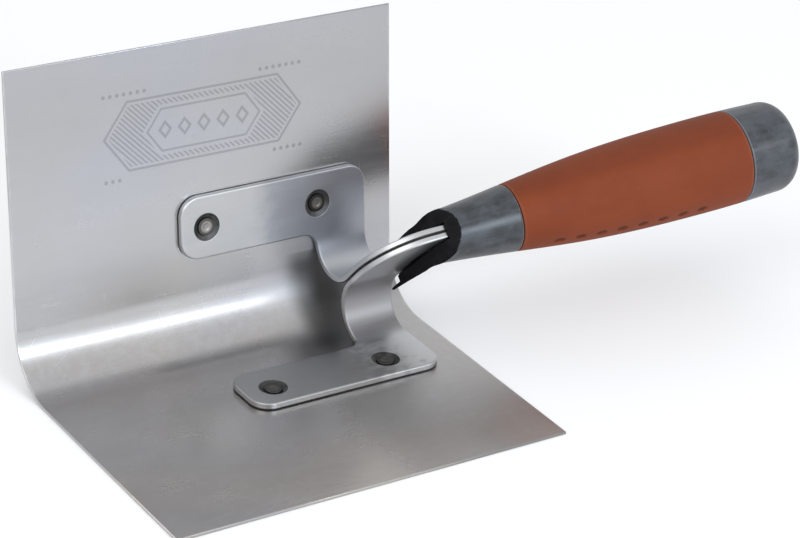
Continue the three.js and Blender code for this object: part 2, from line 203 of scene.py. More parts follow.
def plate(outline, rim, holes):
    """Points and faces of a flat plate; a hole is (centre, [(radius, height), ...] from below up)."""
    points, faces, loops = [], [], {-1: [], 1: []}

    def skin(rings):
        size = len(rings[0])
        first = sum(len(p) for p in points)
        points.extend(rings)
        for level in range(len(rings) - 1):
            a = first + level * size
            for i in range(size):
                j = (i + 1) % size
                faces.append((a + i, a + j, a + size + j, a + size + i))
        loops[-1].append(range(first, first + size))
        last = first + (len(rings) - 1) * size
        loops[1].append(range(last, last + size))

    def ring(flat, height):
        return np.column_stack([flat, np.full(len(flat), height)])

    skin([ring(inset(outline, depth), height) for depth, height in rim])
    for (x, y), profile in holes:
        skin([ring(arc(x, y, radius, 360, 0, 48)[:-1], height) for radius, height in profile])
    flat = np.vstack(points)
    for side, rings in loops.items():
        index = [i for loop in rings for i in loop]
        polygons = [[Vector((*flat[i][:2], 0)) for i in loop] for loop in rings]
        for a, b, c in tessellate_polygon(polygons):
            a, b, c = index[a], index[b], index[c]
            u, v = flat[b] - flat[a], flat[c] - flat[a]
            area = u[0] * v[1] - u[1] * v[0]
            if abs(area) > 1e-9:
                faces.append((a, b, c) if area * side > 0 else (a, c, b))
    return flat, faces


def cut_across(points, faces, lines):
    """The plate with an edge along every line of constant second coordinate."""
    bm = bmesh.new()
    verts = [bm.verts.new(p) for p in points]
    for face in faces:
        bm.faces.new([verts[i] for i in face])
    for line in lines:
        bmesh.ops.bisect_plane(
            bm,
            geom=[*bm.verts, *bm.edges, *bm.faces],
            plane_co=(0, line, 0),
            plane_no=(0, 1, 0),
            dist=1e-5,
        )
    bm.verts.index_update()
    points = np.array([v.co for v in bm.verts])
    faces = [tuple(v.index for v in f.verts) for f in bm.faces]
    bm.free()
    return points, faces


def bent(points, radius, turn, centre, angle):
    """The plate's second coordinate laid along a line, an arc and a line, heights square to it.

    The arc starts at an angle round its centre.
    """
    x, t, height = points.T
    swept = np.clip(t / radius, 0, turn)
    rest = t - swept * radius
    a = angle + swept
    out = np.stack([np.cos(a), np.sin(a)], 1)
    along = np.stack([-np.sin(a), np.cos(a)], 1)
    flat = centre + out * (radius + height)[:, None] + along * rest[:, None]
    return np.column_stack([x, flat])


# ---- Blade ----


BEND_TANGENT = BEND_INNER * math.tan(TURN / 2)


def blade():
    """The folded sheet; the lower face of its flat plate becomes the working face."""
    half = SHEET / 2
    radius = BEND_INNER + half
    length = WING - BEND_TANGENT
    bend = radius * TURN
    outline = joined([
        [(0, -length), (FOLD, -length)],
        [(FOLD, bend + length), (0, bend + length)],
    ])
    sink = [
        (RIVET_HEAD_HOLE + 0.07, -half),
        (RIVET_HEAD_HOLE, -half + 0.06),
        (RIVET_HEAD_HOLE, -half + 0.3),
        (RIVET_HOLE, -half + 0.7),
        (RIVET_HOLE, half),
    ]
    profile = hole_rings(sink, 0.3, half)
    holes = []
    for side, (places, distance) in RIVETS.items():
        t = BEND_TANGENT - distance if side == "lower" else bend + distance - BEND_TANGENT
        holes += [((x, t), profile) for x in places]
    points, faces = plate(outline, rounded_rim(half, 0.16, 0.16, 3, 0.25), holes)
    # Edges across the bend, and one on either side of it to hold the wings flat.
    lines = [-0.6, *np.linspace(0, bend, 49), bend + 0.6]
    points, faces = cut_across(points, faces, lines)
    points[:, 2] *= -1
    centre = np.array([-BEND_TANGENT, BEND_INNER])
    return bent(points, radius, TURN, centre, -math.pi / 2), faces


# ---- Materials ----


class Look:
    """A material round one Principled shader. A value is a number, a vector or a socket."""

    def __init__(self, name, color, metallic, roughness, specular=0.5):
        self.material = bpy.data.materials.new(name)
        self.material.use_nodes = True
        self.tree = self.material.node_tree
        self.shader = self.tree.nodes["Principled BSDF"]
        self.shader.inputs["Metallic"].default_value = metallic
        self.shader.inputs["Specular IOR Level"].default_value = specular
        self.set("Base Color", (*color, 1))
        self.set("Roughness", roughness)

    def set(self, socket, value):
        self.feed(self.shader.inputs[socket], value)

    def feed(self, socket, value):
        if isinstance(value, bpy.types.NodeSocket):
            self.tree.links.new(value, socket)
        else:
            socket.default_value = value

    def node(self, kind, inputs=(), **settings):
        node = self.tree.nodes.new("ShaderNode" + kind)
        for key, value in settings.items():
            setattr(node, key, value)
        for key, value in dict(inputs).items():
            self.feed(node.inputs[key], value)
        return node

    def math(self, operation, *values):
        return self.node("Math", enumerate(values), operation=operation).outputs[0]

    def chain(self, operation, values):
        return reduce(lambda total, value: self.math(operation, total, value), values)

    def add(self, *values):
        return self.chain("ADD", values)

    def times(self, *values):
        return self.chain("MULTIPLY", values)

    def most(self, *values):
        return self.chain("MAXIMUM", values)

    def length(self, a, b):
        return self.math("SQRT", self.add(self.times(a, a), self.times(b, b)))

    def place(self, matrix):
        """The shaded point's three coordinates in a frame."""
        spot = self.node("TexCoord").outputs["Object"]
        dots = [
            self.node("VectorMath", {0: spot, 1: row[:3]}, operation="DOT_PRODUCT").outputs["Value"]
            for row in matrix.inverted()[:3]
        ]
        return [self.add(dot, row[3]) for dot, row in zip(dots, matrix.inverted())]

    def noise(self, place, scale, detail=3.0, roughness=0.5):
        """Noise from 0 to 1, with about scale features to the millimetre along each coordinate."""
        scaled = [self.times(value, size) for value, size in zip(place, scale)]
        vector = self.node("CombineXYZ", enumerate(scaled)).outputs[0]
        inputs = {"Vector": vector, "Scale": 1.0, "Detail": detail, "Roughness": roughness}
        return self.node("TexNoise", inputs).outputs[0]

    def step(self, value, low, high):
        """0 below low, 1 above high, smooth between; low may be the larger of the two."""
        inputs = {"Value": value, "From Min": low, "From Max": high}
        return self.node("MapRange", inputs, interpolation_type="SMOOTHSTEP").outputs[0]

    def mix(self, factor, first, second):
        node = self.node("Mix", data_type="RGBA")
        for index, value in ((0, factor), (6, first), (7, second)):
            if isinstance(value, tuple):
                value = (*value, 1)
            self.feed(node.inputs[index], value)
        return node.outputs[2]

    def shade(self, color, tone):
        """The colour scaled by a tone."""
        node = self.node("VectorMath", {0: color, "Scale": tone}, operation="SCALE")
        return node.outputs[0]

    def tint(self, color, by):
        """The colour multiplied by another."""
        return self.node("VectorMath", {0: color, 1: by}, operation="MULTIPLY").outputs[0]

    def bump(self, height, depth):
        """Relief of a height from 0 to 1, depth millimetres deep."""
        inputs = {"Height": height, "Distance": depth * MM, "Strength": 1.0}
        self.set("Normal", self.node("Bump", inputs).outputs[0])

    def scratches(self, matrix, angle, least=0.66):
        """Fine lines, 1 on each, that run at an angle to a frame's first axis."""
        place = self.place(matrix @ Matrix.Rotation(math.radians(angle), 4, "Z"))
        lines = self.noise(place, (0.035, 2.6, 0.05), 2)
        patches = self.noise(place, (0.06, 0.06, 0.06), 2)
        return self.times(self.step(lines, least, least + 0.05), self.step(patches, 0.45, 0.6))


def steel(name, matrix, warm, cool, roughness, marks, clouds=0.035):
    """A look for bare rolled steel, with its colour, roughness and relief still to be set.

    It has smoky patches, a grain along the first axis, fine scratches and specks.
    """
    look = Look(name, cool, 1.0, roughness)
    place = look.place(matrix)
    smoke = look.noise(place, (clouds, clouds * 1.6, clouds * 1.6), 5, 0.55)
    rolled = look.noise(place, (0.03, 1.5, 1.5), 4, 0.6)
    fine = look.noise(place, (0.5, 4.0, 4.0), 2)
    lines = look.times(look.most(look.scratches(matrix, 24), look.scratches(matrix, -63, 0.67)), marks)
    specks = look.step(look.noise(place, (0.9, 0.9, 0.9), 1), 0.78, 0.83)
    tone = look.add(
        0.86,
        look.times(smoke, 0.14),
        look.times(rolled, 0.10),
        look.times(fine, 0.04),
        look.times(lines, 0.10),
        look.times(specks, -0.25),
    )
    tint = look.step(look.noise(place, (0.012, 0.02, 0.02), 2), 0.35, 0.65)
    color = look.shade(look.mix(tint, warm, cool), tone)
    rough = look.add(
        roughness - 0.09,
        look.times(smoke, 0.10),
        look.times(rolled, 0.06),
        look.times(fine, 0.03),
        look.times(lines, 0.08),
    )
    height = look.add(look.times(rolled, 0.7), look.times(fine, 0.3), look.times(lines, -0.5))
    return look, color, rough, height


# The badge's middle and its rows of dots lie on the upper wing: along the fold, away from the corner.
UPPER_FRAME = CORNER_FRAME @ Matrix.Rotation(TURN, 4, "X")
MARK = (63.0, 67.5)
DOT_ROWS = ((29.5, 45.0, 80.2), (81.0, 96.5, 80.2), (29.5, 36.2, 54.8), (85.4, 96.5, 54.8))
DOT_PITCH = 2.2


def etched_mark(look):
    """1 inside a plain etched badge on the upper wing: a hatched hexagon, diamonds, rows of dots."""
    x, distance, height = look.place(UPPER_FRAME)
    u = look.add(x, -MARK[0])
    v = look.add(distance, -MARK[1])
    across, up = look.math("ABSOLUTE", u), look.math("ABSOLUTE", v)

    def hexagon(width, tall):
        """Distance outside a long hexagon."""
        slant = look.add(look.times(across, 0.8), look.times(up, 0.6), -0.8 * width)
        return look.most(slant, look.add(up, -tall))

    def band(value, low, high, soft=0.08):
        return look.times(
            look.step(value, low - soft, low + soft), look.step(value, high + soft, high - soft)
        )

    def cell(value, pitch):
        """Distance from the middle of each cell of a row."""
        phase = look.math("FRACT", look.times(value, 1 / pitch))
        return look.times(look.math("ABSOLUTE", look.add(phase, -0.5)), pitch)

    outer, core = hexagon(33.0, 10.6), hexagon(19.0, 6.6)
    hatch = look.step(cell(look.add(u, v), 1.7), 0.5, 0.3)
    field = look.times(look.step(outer, -1.3, -1.5), look.step(core, 0.9, 1.1))
    diamond = look.add(cell(look.add(u, 3.2), 6.4), look.times(up, 0.8))
    parts = [
        band(outer, -0.7, 0.0),
        look.times(hatch, field),
        band(core, -0.6, 0.0),
        look.times(band(diamond, 1.3, 2.3, 0.15), look.step(across, 15.9, 15.7)),
    ]
    for low, high, at in DOT_ROWS:
        along = cell(look.add(x, -low), DOT_PITCH)
        off = look.add(distance, -at)
        spot = look.add(look.times(along, along), look.times(off, off))
        parts.append(look.times(look.step(spot, 0.42, 0.28), band(x, low, high, 0.01)))
    facing = look.step(height, -SHEET / 2, -SHEET / 2 + 0.1)
    return look.times(look.most(*parts), facing, look.step(distance, 45, 46))


def painted_reflection_by_necks(look, x, y, z):
    """1 on the inner face of the fold and of the lower wing next to the necks, where the steel is
    painted darker: painted reflection of the dark necks and handle.
    """
    over = look.most(look.add(y, BEND_TANGENT), 0)
    away = look.length(over, look.add(z, -BEND_INNER))
    inner = look.step(away, BEND_INNER + SHEET * 0.6, BEND_INNER + SHEET * 0.4)
    along = look.times(look.step(x, 88, 95), look.step(x, 112, 104))
    return look.times(along, look.step(y, -42, -34), look.step(z, 26, 16), inner)


def blade_steel():
    """Satin steel: etched badge, ends worn bright, duller by the necks; painted reflection tints the
    wings and darkens the steel by the necks.
    """
    warm, cool = (0.53, 0.518, 0.51), (0.515, 0.52, 0.545)
    look, color, rough, height = steel("blade_steel", CORNER_FRAME, warm, cool, 0.25, 0.3)
    mark = etched_mark(look)
    x, y, z = look.place(CORNER_FRAME)
    nicks = look.noise((x, y, z), (0.35, 0.35, 0.35), 3)
    ends = look.math("MINIMUM", x, look.add(FOLD, look.times(x, -1)))
    worn = look.step(look.add(ends, look.times(nicks, -1.6)), 0.0, -0.9)
    # Painted reflection: the lower wing painted darker and warmer, with a wavering edge, and the upper
    # wing's outer part darker and bluer.
    low = look.step(look.add(z, look.times(nicks, 12)), 18, 4)
    tint = look.mix(low, (1, 1, 1), (0.86, 0.825, 0.785))
    tint = look.mix(look.step(z, 25, 85), tint, (0.79, 0.80, 0.83))
    # Painted reflection: the steel beside the necks is painted darker, standing in for the dark necks
    # and handle it mirrors.
    tint = look.mix(painted_reflection_by_necks(look, x, y, z), tint, (0.55, 0.54, 0.52))
    dulled = look.times(look.step(x, 68, 98), look.step(z, 42, 22))
    tone = look.add(1, look.times(mark, -0.24), look.times(worn, 0.12))
    look.set("Base Color", look.shade(look.tint(color, tint), tone))
    rough = look.add(rough, look.times(mark, 0.1), look.times(worn, -0.06), look.times(dulled, 0.12))
    look.set("Roughness", rough)
    look.bump(look.add(height, look.times(mark, -1.0)), 0.0012)
    return look.material


def bracket_steel():
    """Bright formed steel, gently wavy, duller where it was curled; painted reflection darkens parts of
    the flanges and the lower neck.
    """
    warm, cool = (0.53, 0.53, 0.53), (0.54, 0.555, 0.58)
    look, color, rough, height = steel("bracket_steel", HALVING_FRAME, warm, cool, 0.36, 0.4, 0.09)
    x, y, z = look.place(HALVING_FRAME)
    waves = look.noise((x, y, z), (0.22, 0.3, 0.3), 2)
    blotch = look.times(look.add(waves, -0.5), 8)
    curled = look.times(look.step(look.math("ABSOLUTE", z), 19, 14), look.step(y, 30, 25))
    # Painted reflection: the upper bracket's flange painted darker and bluer towards the handle.
    dark_reflection_patch = look.times(look.step(look.add(x, blotch), 76, 88), look.step(z, -8, -14))
    # Painted reflection: the lower flange painted darker and warmer, in blotches, away from the handle.
    wear_and_shade = look.times(look.step(look.add(x, look.times(blotch, 6)), 110, 92), look.step(z, 15, 19))
    tint = look.mix(dark_reflection_patch, (1, 1, 1), (0.7, 0.71, 0.76))
    tint = look.mix(wear_and_shade, tint, (0.68, 0.67, 0.66))
    # Painted shade: the curled neck of the lower bracket is painted darker.
    tint = look.mix(look.times(curled, look.step(z, 0, 2)), tint, (0.66, 0.63, 0.62))
    look.set("Base Color", look.tint(color, tint))
    look.set("Roughness", look.add(rough, look.times(curled, 0.14)))
    look.bump(look.add(look.times(height, 0.05), waves), 0.02)
    return look.material


def dark_steel(name, tone):
    """Dark steel, dull and pitted, with brown-grey patches: oxidised in the countersinks and on the
    pin, painted shade on the brackets' rims.
    """
    look = Look(name, (tone, tone, tone), 1.0, 0.5)
    place = look.place(CORNER_FRAME)
    patches = look.noise(place, (0.55, 0.55, 0.55), 4, 0.65)
    pits = look.noise(place, (2.6, 2.6, 2.6), 2)
    dark, light = (tone * 0.72, tone * 0.69, tone * 0.66), (tone * 1.25,) * 3
    color = look.mix(look.step(patches, 0.3, 0.7), dark, light)
    look.set("Base Color", look.shade(color, look.add(0.75, look.times(pits, 0.5))))
    look.set("Roughness", look.add(0.32, look.times(patches, 0.2), look.times(pits, 0.1)))
    look.bump(look.add(patches, look.times(pits, 0.5)), 0.012)
    return look.material


def rivet_steel(name, matrix, ring, disc):
    """A spread rivet: a dull rim round a brighter middle, with turned grooves and grime."""
    look = Look(name, (disc, disc, disc), 1.0, 0.45)
    along, y, z = look.place(matrix)
    radius = look.length(y, z)
    patches = look.noise((along, y, z), (0.6, 0.6, 0.6), 4, 0.65)
    grooves = look.math("SINE", look.times(radius, 11))
    inner = look.step(look.add(radius, look.times(patches, 0.6)), 2.35, 1.85)
    rim, middle = (ring, ring * 0.94, ring * 0.88), (disc, disc * 0.95, disc * 0.9)
    tone = look.add(0.78, look.times(patches, 0.4), look.times(grooves, 0.06))
    look.set("Base Color", look.shade(look.mix(inner, rim, middle), tone))
    look.set("Roughness", look.add(0.34, look.times(patches, 0.2)))
    look.bump(look.add(patches, look.times(grooves, 0.25)), 0.015)
    return look.material


def scaled(color, by, plus=0.0):
    return tuple(by * value + plus for value in color)


def moulding(name, dark, light, roughness, specular):
    """Satin moulded plastic: cloudy colour, fine matt grain, scuffs, dust, lighter and bluer along the
    seams.
    """
    look = Look(name, dark, 0.0, roughness, specular)
    place = look.place(HANDLE_FRAME)
    clouds = look.noise(place, (0.16, 0.22, 0.22), 5, 0.62)
    smears = look.noise(place, (0.05, 0.35, 0.35), 4, 0.6)
    grain = look.noise(place, (3.2, 3.2, 3.2), 2)
    scuffs = look.step(look.noise(place, (0.7, 1.6, 1.6), 3, 0.7), 0.62, 0.72)
    specks = look.step(look.noise(place, (1.1, 1.1, 1.1), 1), 0.77, 0.81)
    pits = look.step(look.noise(place, (0.8, 0.8, 0.8), 2), 0.27, 0.24)
    seams = [look.math("ABSOLUTE", look.add(place[0], -at)) for at in (SLEEVE[0], SLEEVE[1] + GAP)]
    seam = look.add(look.math("MINIMUM", *seams), look.times(grain, 0.3))
    color = look.mix(look.step(clouds, 0.36, 0.66), dark, light)
    color = look.mix(look.times(look.step(smears, 0.42, 0.62), 0.5), color, scaled(light, 1.5))
    color = look.mix(look.times(scuffs, 0.35), color, scaled(light, 2.2, 0.01))
    color = look.mix(look.times(specks, 0.6), color, (0.24, 0.24, 0.23))
    color = look.mix(look.times(pits, 0.7), color, scaled(dark, 0.3))
    color = look.mix(look.times(look.step(seam, 0.75, 0.45), 0.4), color, (0.2, 0.21, 0.24))
    look.set("Base Color", color)
    rough = look.add(roughness - 0.14, look.times(clouds, 0.28), look.times(scuffs, 0.12))
    look.set("Roughness", rough)
    look.bump(look.add(look.times(grain, 0.6), look.times(clouds, 0.6)), 0.012)
    return look.material


def sleeve_rubber(name, darkening):
    """Brick-red moulded rubber, fine-grained, worn lighter at its ends; darkening lowers its tone, as
    inside the dimples.
    """
    look = Look(name, (0.21, 0.043, 0.0135), 0.0, 0.6, 0.18)
    place = look.place(HANDLE_FRAME)
    along, _, across = place
    clouds = look.noise(place, (0.05, 0.07, 0.07), 4, 0.6)
    pores = look.noise(place, (1.6, 1.6, 1.6), 3, 0.6)
    dust = look.step(look.noise(place, (0.8, 0.8, 0.8), 2), 0.72, 0.8)
    front, back = look.add(along, -SLEEVE[0]), look.add(SLEEVE[1], look.times(along, -1))
    ends = look.math("MINIMUM", front, back)
    # Here only wear: the sleeve's ends are worn lighter.
    wear_and_shade = look.step(look.add(ends, look.times(pores, -1.2)), 0.5, -0.6)
    shaded = look.step(across, 1, -4)
    tone = look.add(0.92 - darkening, look.times(pores, 0.16), look.times(shaded, -0.15))
    color = look.mix(look.step(clouds, 0.3, 0.7), (0.182, 0.038, 0.0125), (0.208, 0.044, 0.015))
    color = look.mix(look.times(wear_and_shade, 0.4), look.shade(color, tone), (0.30, 0.11, 0.065))
    look.set("Base Color", look.mix(look.times(dust, 0.14), color, (0.32, 0.18, 0.13)))
    look.set("Roughness", look.add(0.52, look.times(clouds, 0.12), look.times(pores, 0.1)))
    look.bump(look.add(look.times(pores, 0.8), look.times(clouds, 0.4)), 0.03)
    return look.material


BRACKET_STEEL = bracket_steel()
# Painted shade on the brackets' rims, next to the wing.
RIM_SHADE_STEEL = dark_steel("rim_painted_shade_steel", 0.07)
SINK_STEEL = dark_steel("sink_steel", 0.08)
BODY_PLASTIC = moulding("body_plastic", (0.007, 0.010, 0.013), (0.038, 0.045, 0.055), 0.36, 0.7)
# Painted shade: the nose's front face and slot are the same plastic, painted near-black because they
# lie in shade.
SHADED_FACE_PLASTIC = moulding("face_plastic_painted_shade", (0.004, 0.004, 0.005), (0.008, 0.008, 0.009), 0.6, 0.1)
RUBBER = sleeve_rubber("sleeve_rubber", 0.0)
DIMPLE_RUBBER = sleeve_rubber("sleeve_rubber_dimples", 0.5)

piece("blade_sheet", *blade(), CORNER_FRAME, "blade", "blade", [blade_steel()], flip=True)


# ---- Brackets ----


def on_handle(along, above):
    """A place on the handle as a place along the fold and a distance from the corner."""
    return (
        HANDLE_X + along * math.cos(RISE) - above * math.sin(RISE),
        HANDLE_D + along * math.sin(RISE) + above * math.cos(RISE),
    )


def on_line(x, above):
    """The point at a place along the fold on the line that runs above the handle's axis."""
    along = (x - HANDLE_X + above * math.sin(RISE)) / math.cos(RISE)
    return on_handle(along, above)


def bracket_outline(curl_length):
    """The flat plate's outline: along the fold, and from the curl's start on the flange to the tang."""
    r = FLANGE_CORNER
    (x0, x1), (near, far) = FLANGE_X, FLANGE_D

    def tang(x, distance):
        return x, distance - CURL_D + curl_length

    fillet = tang(*on_line(x1 + TANG_FILLET, -TANG_HALF - TANG_FILLET))
    sweep = tang(*on_line(NECK_X + TANG_SWEEP, TANG_HALF - TANG_SWEEP))
    top = 90 + math.degrees(RISE)
    corners = [
        (TANG_END - TANG_TIP, -TANG_HALF),
        (TANG_END, -TANG_HALF + TANG_TIP),
        (TANG_END, TANG_HALF - TANG_TIP),
        (TANG_END - TANG_TIP, TANG_HALF),
    ]
    return joined([
        arc(x0 + r, CURL_D - far + r, r, 180, 270),
        arc(x1 - r, CURL_D - far + r, r, 270, 360),
        arc(*fillet, TANG_FILLET, 180, top),
        [tang(*on_handle(*corner)) for corner in corners],
        arc(*sweep, TANG_SWEEP, top, 180, 20),
        arc(NECK_X - NECK_FILLET, CURL_D - near + NECK_FILLET, NECK_FILLET, 0, -90, 8),
        arc(x0 + r, CURL_D - near - r, r, 90, 180),
    ])


# Height below which the plate's rim is painted dark: painted shade of the gap where the bracket sits on
# the wing.
RIM_SHADOW = -0.6


def bracket(places, distance):
    """The lower bracket, and each face's material: plate, rim painted dark as shade, or countersink."""
    half = PLATE / 2
    radius = CURL - SEAT_GAP - half
    turn = math.pi - HALF
    outline = bracket_outline(radius * turn)
    sink = [
        (RIVET_HOLE, -half),
        (RIVET_HOLE, 0.3),
        (3.0, 0.4),
        (4.1, 0.88),
        (4.24, half - 0.05),
        (4.3, half),
    ]
    profile = hole_rings(sink, 0.25, half)
    holes = [((x, CURL_D - distance), profile) for x in places]
    points, faces = plate(outline, rounded_rim(half, 0.12, 0.5, 5, 0.3, [RIM_SHADOW]), holes)
    lines = [-0.5, *np.linspace(0, radius * turn, 45), radius * turn + 0.5]
    points, faces = cut_across(points, faces, lines)
    middles = np.array([points[list(face)].mean(0) for face in faces])
    which = np.where((middles[:, 2] > -half + 0.01) & (middles[:, 2] < RIM_SHADOW), 1, 0)
    for (x, t), _ in holes:
        near = np.hypot(middles[:, 0] - x, middles[:, 1] - t) < profile[-2][0]
        which[near & (middles[:, 2] < half - 0.001)] = 2
    points[:, 2] *= -1
    centre = np.array([CURL_D, CURL])
    return bent(points, radius, turn, centre, math.pi / 2 + HALF), faces, which


SIDES = {"lower": HALVING_FRAME, "upper": HALVING_FRAME @ MIRROR}
BRACKET_FINISH = [BRACKET_STEEL, RIM_SHADE_STEEL, SINK_STEEL]

for side, matrix in SIDES.items():
    points, faces, which = bracket(*RIVETS[side])
    name, node = f"bracket_plate_{side}", f"bracket_{side}"
    flip = side == "lower"
    piece(name, points, faces, matrix, node, "bracket", BRACKET_FINISH, flip, which)


# ---- Turned pieces ----


def lathe(profile, segments):
    """Points and faces of a profile of (along, radius) turned about the first axis."""
    angles = np.linspace(0, 2 * math.pi, segments, endpoint=False)
    points, faces, rings = [], [], []
    for along, radius in profile:
        start = len(points)
        if radius < 1e-6:
            points.append((along, 0, 0))
            rings.append([start] * segments)
        else:
            points.extend((along, radius * math.cos(a), radius * math.sin(a)) for a in angles)
            rings.append(range(start, start + segments))
    for first, second in zip(rings, rings[1:]):
        for i in range(segments):
            j = (i + 1) % segments
            loop = [first[i], second[i], second[j], first[j]]
            loop = [v for k, v in enumerate(loop) if v != loop[k - 1]]
            faces.append(tuple(loop))
    return np.array(points), faces


def softened(corners, steps=4):
    """A profile from (along, radius, rounding) corners; where there is a rounding, an arc cuts in."""
    line = []
    for i, (x, r, rounding) in enumerate(corners):
        here = np.array([x, r], float)
        if rounding == 0:
            line.append(here)
            continue
        back = np.array(corners[i - 1][:2], float) - here
        ahead = np.array(corners[(i + 1) % len(corners)][:2], float) - here
        back, ahead = back / np.linalg.norm(back), ahead / np.linalg.norm(ahead)
        half = math.acos(np.clip(back @ ahead, -1, 1)) / 2
        cut = rounding / math.tan(half)
        middle = here + (back + ahead) / np.linalg.norm(back + ahead) * rounding / math.sin(half)
        start, end = here + back * cut, here + ahead * cut
        a0, a1 = start - middle, end - middle
        angle = math.pi - 2 * half
        for k in range(steps + 1):
            w = k / steps
            mix = a0 * math.sin((1 - w) * angle) + a1 * math.sin(w * angle)
            line.append(middle + mix / math.sin(angle))
    return line


def body_radius(along):
    """The body's radius along the handle: a natural cubic through the body line's points."""
    xs, ys = BODY_LINE.T
    h = np.diff(xs)
    n = len(xs)
    system = np.eye(n)
    right = np.zeros(n)
    for i in range(1, n - 1):
        system[i, i - 1 : i + 2] = h[i - 1], 2 * (h[i - 1] + h[i]), h[i]
        right[i] = 6 * ((ys[i + 1] - ys[i]) / h[i] - (ys[i] - ys[i - 1]) / h[i - 1])
    bend = np.linalg.solve(system, right)
    along = np.asarray(along, float)
    i = np.clip(np.searchsorted(xs, along) - 1, 0, n - 2)
    a, b = xs[i + 1] - along, along - xs[i]
    return (
        bend[i] * a**3 / (6 * h[i])
        + bend[i + 1] * b**3 / (6 * h[i])
        + (ys[i] / h[i] - bend[i] * h[i] / 6) * a
        + (ys[i + 1] / h[i] - bend[i + 1] * h[i] / 6) * b
    )


# Tones of the rim and the middle of each rivet.
RIVET_TONES = {
    "upper": ((0.11, 0.34), (0.045, 0.17)),
    "lower": ((0.075, 0.11), (0.075, 0.11)),
}


def rivet():
    """A rivet from its flush head on the working side to its hollow end, spread in the bracket."""
    top = PLATE + SEAT_GAP + SHEET
    corners = [
        (0.02, 0, 0),
        (0.02, 2.9, 0),
        (0.02, RIVET_HEAD, 0.1),
        (0.3, RIVET_HEAD, 0.05),
        (0.75, RIVET_SHANK, 0),
        (top - 0.7, RIVET_SHANK, 0),
        (top - 0.45, 2.72, 0.08),
        (top - 0.2, 2.6, 0.1),
        (top - 0.2, 1.15, 0.1),
        (top - 0.35, 0.8, 0.1),
        (top - 0.37, 0, 0),
    ]
    return lathe(softened(corners), 64)


def rivet_frame(side_frame, x, distance):
    """A rivet's own frame: its axis runs from the wing's working face into the corner."""
    along = Vector((0, math.cos(HALF), math.sin(HALF)))
    inward = Vector((0, math.sin(HALF), -math.cos(HALF)))
    forward = Vector((1, 0, 0))
    seat = Matrix.Translation(x * forward + distance * along - SHEET * inward)
    turn = Matrix((inward, forward, inward.cross(forward))).transposed().to_4x4()
    return side_frame @ seat @ turn


for side, side_frame in SIDES.items():
    places, distance = RIVETS[side]
    for number, x in enumerate(places, 1):
        matrix = rivet_frame(side_frame, x, distance)
        label = f"{side}_{number}"
        finish = [rivet_steel(f"rivet_steel_{label}", matrix, *RIVET_TONES[side][number - 1])]
        flip = side == "lower"
        piece(f"rivet_pin_{label}", *rivet(), matrix, f"rivet_{label}", "rivet", finish, flip)


def body_points(start, end, steps, depth=0.0):
    return [(s, float(body_radius(s)) - depth, 0) for s in np.linspace(start, end, steps + 1)]


def sleeve():
    """The sleeve with a row of oval dimples, and which of its faces lie in one."""
    start, end = SLEEVE[0] + GAP, SLEEVE[1]
    corners = [
        (start, float(body_radius(start)) - SLEEVE_THICK, 0),
        (start, float(body_radius(start)), 0.35),
        *body_points(start + 1, end - 1, 180),
        (end, float(body_radius(end)), 0.35),
        (end, float(body_radius(end)) - SLEEVE_THICK, 0),
        *reversed(body_points(start, end, 12, SLEEVE_THICK)),
    ]
    points, faces = lathe(softened(corners), 256)
    along, height, side = points.T
    radius = np.hypot(height, side)
    across = (np.arctan2(side, height) - DIMPLE_TURN) * radius
    first, last, pitch = DIMPLES
    middle = np.clip(np.round((along - first) / pitch) * pitch + first, first, last)
    off = ((along - middle) / DIMPLE_SIZE[0]) ** 2 + (across / DIMPLE_SIZE[1]) ** 2
    outside = radius > body_radius(np.clip(along, *SLEEVE)) - SLEEVE_THICK / 2
    sink = DIMPLE_DEPTH * np.clip(1.6 * (1 - off), 0, 1) * outside
    points[:, 1:] *= (1 - sink / radius)[:, None]
    sunk = sink[np.array([face[:3] for face in faces])].mean(1) > DIMPLE_DEPTH / 2
    return points, faces, sunk


def cap():
    start = SLEEVE[1] + GAP
    corners = [
        (start, SPIGOT + GAP, 0),
        (start, float(body_radius(start)), 0.3),
        *body_points(start + 1, CAP_END - CAP_CORNER - 1, 8),
        (CAP_END, float(body_radius(CAP_END - CAP_CORNER)), CAP_CORNER),
        (CAP_END + CAP_DOME * 0.7, 4.6, 3),
        (CAP_END + CAP_DOME, 0, 0),
    ]
    return lathe(softened(corners, 10), 128)


def rod():
    """The core under the sleeve, with the spigot that holds the cap."""
    rear = SLEEVE[0] - 0.5
    corners = [
        (rear, 0, 0),
        *body_points(rear, SLEEVE[1], 12, SLEEVE_THICK + GAP),
        (SLEEVE[1], SPIGOT, 0),
        (SPIGOT_END, SPIGOT, 0.5),
        (SPIGOT_END, 0, 0),
    ]
    return lathe(softened(corners), 64)


points, faces, sunk = sleeve()
# Faces inside the dimples get the darker rubber.
finish = [RUBBER, DIMPLE_RUBBER]
piece("sleeve_ring", points, faces, HANDLE_FRAME, "grip_sleeve", "sleeve", finish, which=sunk)
piece("butt_cap", *cap(), HANDLE_FRAME, "end_cap", "core", [BODY_PLASTIC])


# ---- Nose: an implicit solid, meshed by surface nets ----


def smooth_max(a, b, blend):
    h = np.maximum(blend - np.abs(a - b), 0) / blend
    return np.maximum(a, b) + h * h * blend / 4


def smooth_min(a, b, blend):
    return -smooth_max(-a, -b, blend)


def bezier(points, steps=200):
    t = np.linspace(0, 1, steps)[:, None]
    p0, p1, p2 = np.array(points, float)
    return (1 - t) ** 2 * p0 + 2 * t * (1 - t) * p1 + t**2 * p2


# The nose's front face in the halving plane, from its foot up: along the handle, and above its axis.
FACE_LINE = bezier([(3, 13), (-11, 0), (-15.6, -27)])[::-1]
FACE_SLOPE = np.gradient(FACE_LINE[:, 0], FACE_LINE[:, 1])
NOSE_BOX = ((-17.5, -28, -12), (19, 13, 12))
SLOT_GAP = 0.4


